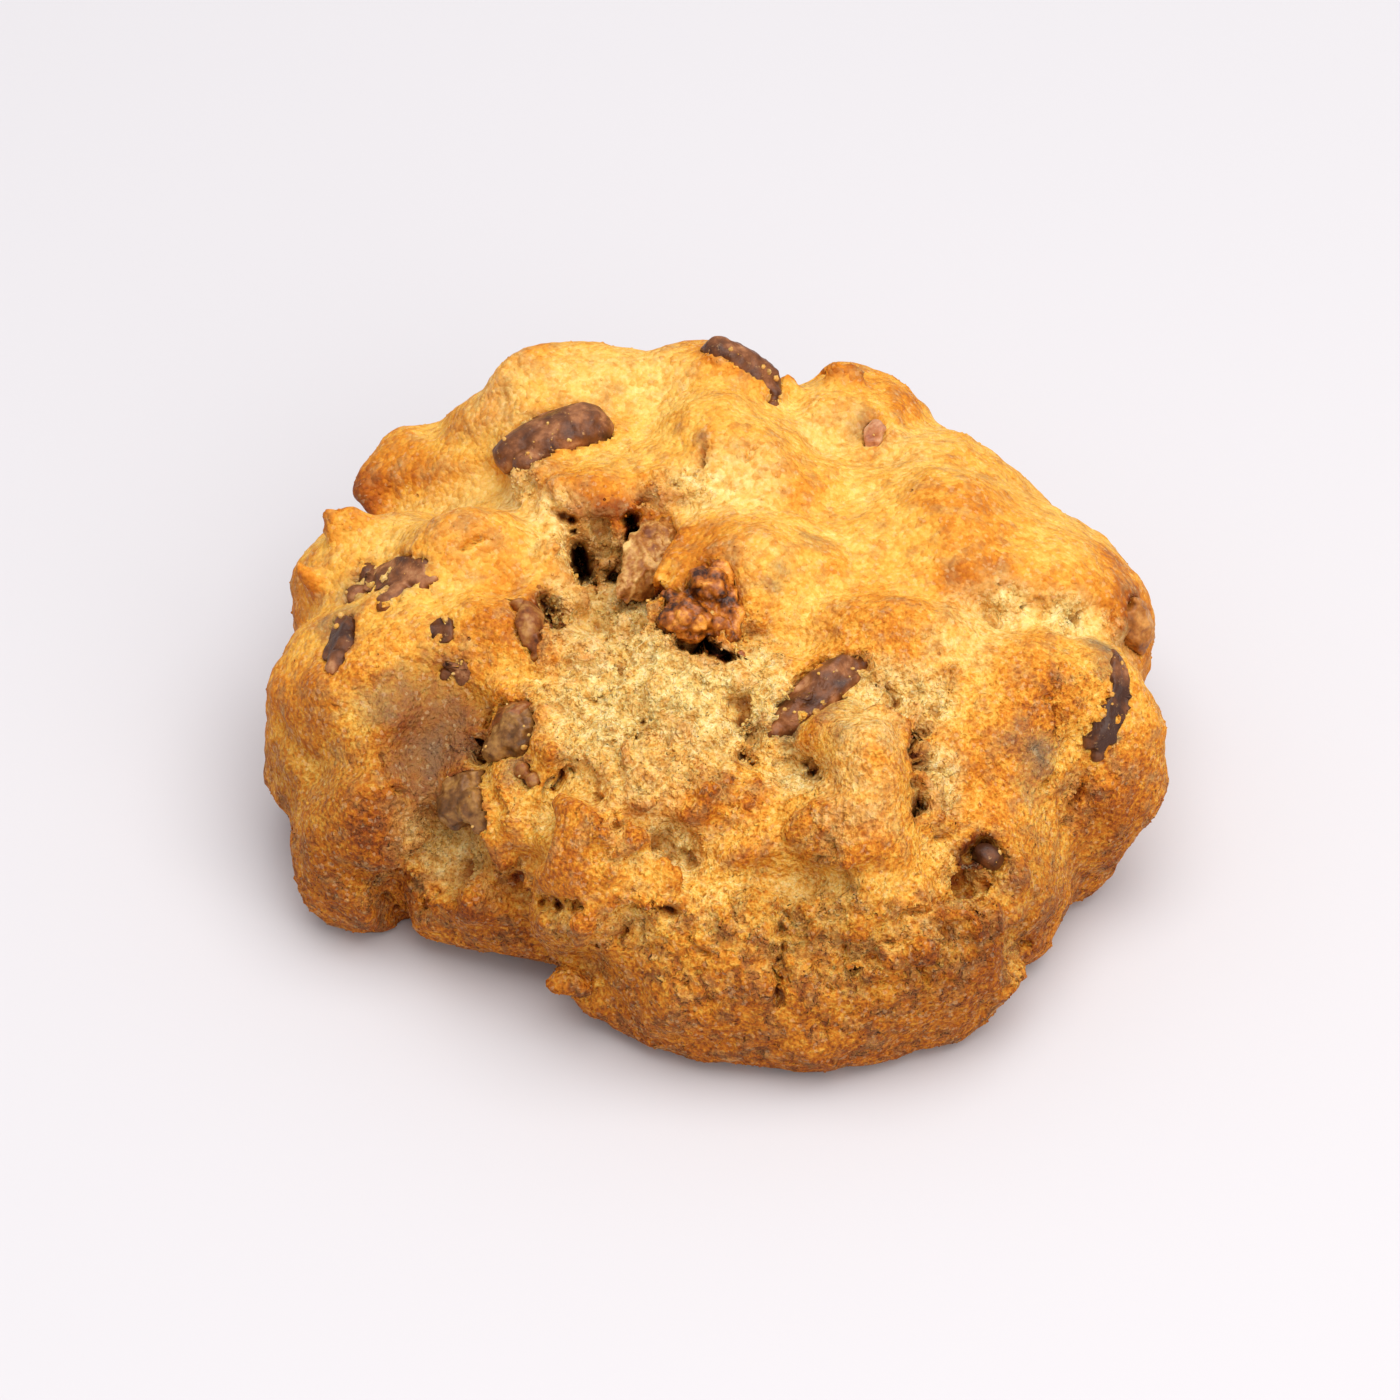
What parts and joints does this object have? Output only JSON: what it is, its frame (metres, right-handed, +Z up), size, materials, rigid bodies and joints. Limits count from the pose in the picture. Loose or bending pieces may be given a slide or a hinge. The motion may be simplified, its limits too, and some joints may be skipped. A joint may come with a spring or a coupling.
{
  "type": "cookie",
  "caption": "Thick, craggy walnut and chocolate cookie of lobed, cracked dough, with nut pieces and chocolate chunks that sit in its surface and a flat underside.",
  "frame": {"origin": "middle of the flat underside, on the floor below the centre of the cookie's box", "axes": "+X along the width, to the right as the best side is faced, +Y away from the best side, +Z up"},
  "size_m": [0.0994, 0.0896, 0.0406],
  "materials": {
    "baked_dough": "matt, golden baked crust, paler and crumbly in the cracks",
    "chocolate": "dark, softly glossy, with a little bloom",
    "walnut": "tan nut flesh with thin brown skin, half matt"
  },
  "bodies": {
    "root": {"dough": "baked_dough", "chocolate_back_left": "chocolate", "chocolate_top": "chocolate", "chocolate_middle": "chocolate", "chocolate_right": "chocolate", "chocolate_left_upper": "chocolate", "chocolate_left_lower": "chocolate", "chocolate_spot_upper": "chocolate", "chocolate_spot_lower": "chocolate", "chocolate_front": "chocolate", "walnut_pale": "walnut", "walnut_dark": "walnut", "walnut_left_upper": "walnut", "walnut_left_middle": "walnut", "walnut_left_lower": "walnut", "walnut_rim": "walnut", "walnut_back": "walnut", "walnut_right": "walnut"}
  },
  "joints": []
}
